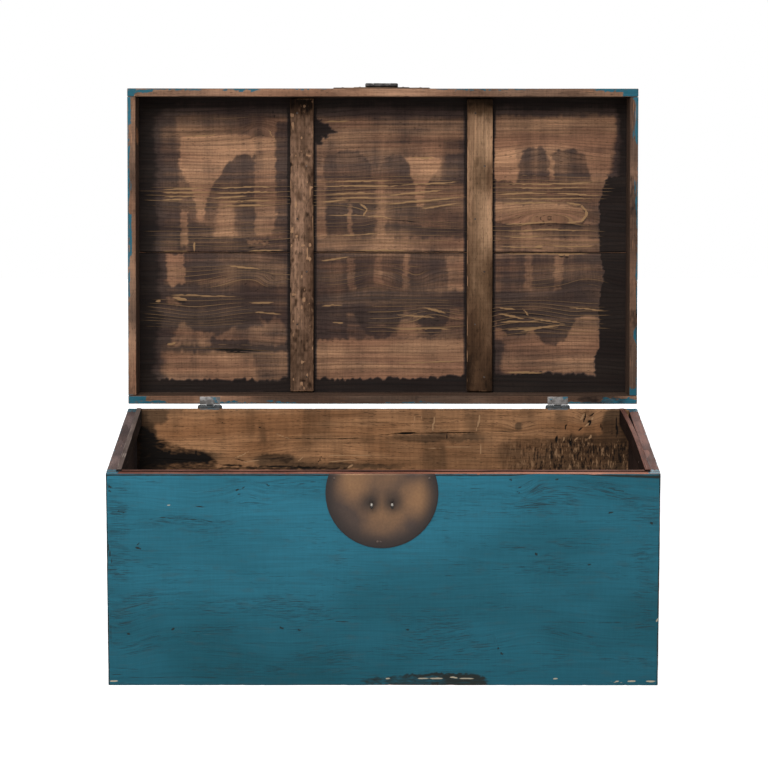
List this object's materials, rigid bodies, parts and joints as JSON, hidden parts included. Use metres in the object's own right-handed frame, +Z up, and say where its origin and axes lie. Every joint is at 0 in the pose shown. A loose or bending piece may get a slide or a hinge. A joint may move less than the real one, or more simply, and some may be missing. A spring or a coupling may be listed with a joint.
{
  "type": "storage trunk",
  "caption": "Blue painted wooden storage trunk with a hinged rail-framed lid, battens, lip strips, a round split lock plate, lock eyes and a folding hasp.",
  "frame": {"origin": "centre of the chest's underside, on the surface it stands on", "axes": "+X to the right along the front, +Y from the front to the hinges, +Z up"},
  "size_m": [0.9, 0.7609, 0.9208],
  "materials": {
    "painted_board": "teal-blue paint, brushed, worn through at the arrises; stained bare wood inside",
    "bare_board": "sawn and brown stained",
    "lip_wood": "stained, rubbed smooth by the lid",
    "aged_brass": "dark patina, rubbed golden in patches",
    "dark_iron": "forged, oiled, bright where it rubs",
    "worn_steel": "dull grey, blue paint caught in the knuckles",
    "nail_iron": "wrought, browned"
  },
  "bodies": {
    "chest": {"front_board": "painted_board", "back_board": "painted_board", "left_side_board": "painted_board", "right_side_board": "painted_board", "bottom_board_front": "bare_board", "bottom_board_middle": "bare_board", "bottom_board_rear": "bare_board", "front_lip_strip": "lip_wood", "left_lip_strip": "lip_wood", "right_lip_strip": "lip_wood", "lower_lock_plate": "aged_brass", "left_lock_eye": "dark_iron", "right_lock_eye": "dark_iron", "left_hinge_base_leaf": "worn_steel", "right_hinge_base_leaf": "worn_steel", "left_hinge_pin": "worn_steel", "right_hinge_pin": "worn_steel", "carcass_nails": "nail_iron", "bottom_nails": "nail_iron", "strip_nails": "nail_iron", "base_hinge_nails": "nail_iron", "lower_plate_nails": "nail_iron"},
    "lid": {"lid_front_rail": "painted_board", "lid_back_rail": "painted_board", "lid_left_rail": "painted_board", "lid_right_rail": "painted_board", "lid_board_front": "painted_board", "lid_board_rear": "painted_board", "left_batten": "bare_board", "right_batten": "bare_board", "upper_lock_plate": "aged_brass", "hasp_bracket": "dark_iron", "hasp_pin": "dark_iron", "left_hinge_lid_leaf": "worn_steel", "right_hinge_lid_leaf": "worn_steel", "lid_frame_nails": "nail_iron", "lid_top_nails": "nail_iron", "batten_nails": "nail_iron", "lid_hinge_nails": "nail_iron", "upper_plate_nails": "nail_iron", "hasp_bracket_nails": "nail_iron"},
    "hasp": {"hasp_strap": "dark_iron"}
  },
  "joints": [
    {"name": "lid_hinge", "type": "hinge", "parent": "chest", "child": "lid", "pos_m": [0, 0.28445, 0.3553], "axis": [1, 0, 0], "range_deg": [0, 97]},
    {"name": "hasp_hinge", "type": "hinge", "parent": "lid", "child": "hasp", "pos_m": [-0.0022, 0.37386, 0.91694], "axis": [1, 0, 0], "range_deg": [0, 184.53]}
  ]
}
